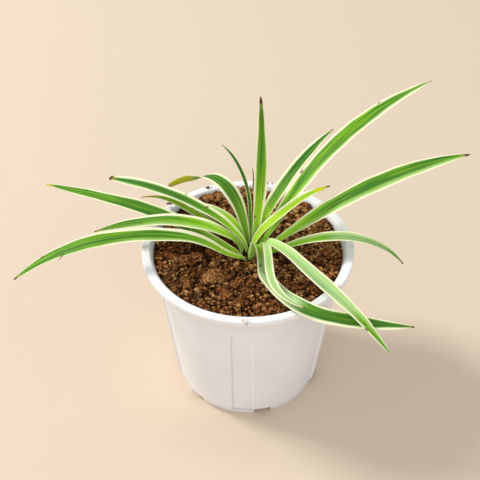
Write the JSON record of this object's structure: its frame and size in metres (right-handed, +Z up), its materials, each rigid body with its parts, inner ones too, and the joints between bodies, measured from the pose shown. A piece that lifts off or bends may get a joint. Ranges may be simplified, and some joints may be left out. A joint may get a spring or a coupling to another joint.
{
  "type": "potted spider plant",
  "caption": "Spider plant with long arching white-edged leaves, growing in a full white plastic nursery pot with a rolled rim and a notched foot.",
  "frame": {"origin": "on the pot's axis, in the plane of the foot that the pot stands on", "axes": "+Z up the pot's axis, +X to the right as the picture sees it, along the plant's longest spread, +Y away from the picture's viewer"},
  "size_m": [0.3194, 0.1966, 0.2245],
  "materials": {
    "pot": "satin white moulded plastic",
    "soil": "rough crumbly reddish-brown soil",
    "crown": "pale green plant tissue, soft gloss",
    "leaf": "green with cream margins, soft gloss",
    "young_leaf": "yellow-green with cream margins, soft gloss"
  },
  "bodies": {
    "root": {"pot": "pot", "soil": "soil", "crown": "crown", "leaf_back_upright": "leaf", "leaf_back_thin": "leaf", "leaf_back_arching": "leaf", "leaf_left_short": "leaf", "leaf_left_upper": "leaf", "leaf_left_narrow": "leaf", "leaf_left_straight": "leaf", "leaf_left_middle": "leaf", "leaf_left_longest": "leaf", "leaf_right_inner": "leaf", "leaf_right_tall": "leaf", "leaf_young_bright": "young_leaf", "leaf_young_folded": "young_leaf", "leaf_right_long": "leaf", "leaf_right_arching": "leaf", "leaf_front_right": "leaf", "leaf_front_sweeping": "leaf", "leaf_front_short": "leaf"}
  },
  "joints": []
}
